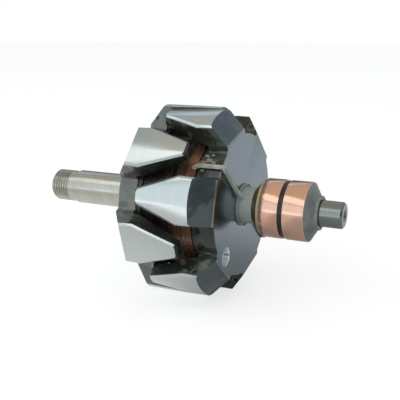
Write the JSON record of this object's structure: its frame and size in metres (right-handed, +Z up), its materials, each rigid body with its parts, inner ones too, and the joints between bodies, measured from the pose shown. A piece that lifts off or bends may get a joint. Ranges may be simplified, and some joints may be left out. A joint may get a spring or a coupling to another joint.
{
  "type": "alternator rotor",
  "caption": "Claw-pole alternator rotor: interlocking claws round a field winding on a stepped shaft with slip rings.",
  "frame": {"origin": "on the shaft axis, in the outer face of the drive-end pole half", "axes": "+X along the shaft towards the slip rings, +Z up, +Y completes the right hand"},
  "size_m": [0.1533, 0.0896, 0.0896],
  "materials": {
    "forged_steel": "as forged, ground on the claws",
    "turned_steel": "turned",
    "winding_copper": "varnished enamelled wire",
    "ring_copper": "turned copper",
    "bobbin_plastic": "moulded",
    "moulding_plastic": "moulded",
    "collar_plastic": "turned",
    "washer_fibre": "pressed fibre",
    "lead_sleeve": "woven sleeving"
  },
  "bodies": {
    "root": {"shaft": "turned_steel", "drive_end_pole": "forged_steel", "slip_ring_end_pole": "forged_steel", "pole_core": "forged_steel", "bobbin": "bobbin_plastic", "field_winding": "winding_copper", "slip_ring_moulding": "moulding_plastic", "inner_slip_ring": "ring_copper", "outer_slip_ring": "ring_copper", "end_collar": "collar_plastic", "face_washer": "washer_fibre", "first_lead": "winding_copper", "second_lead": "winding_copper", "first_lead_sleeve": "lead_sleeve", "second_lead_sleeve": "lead_sleeve"}
  },
  "joints": []
}
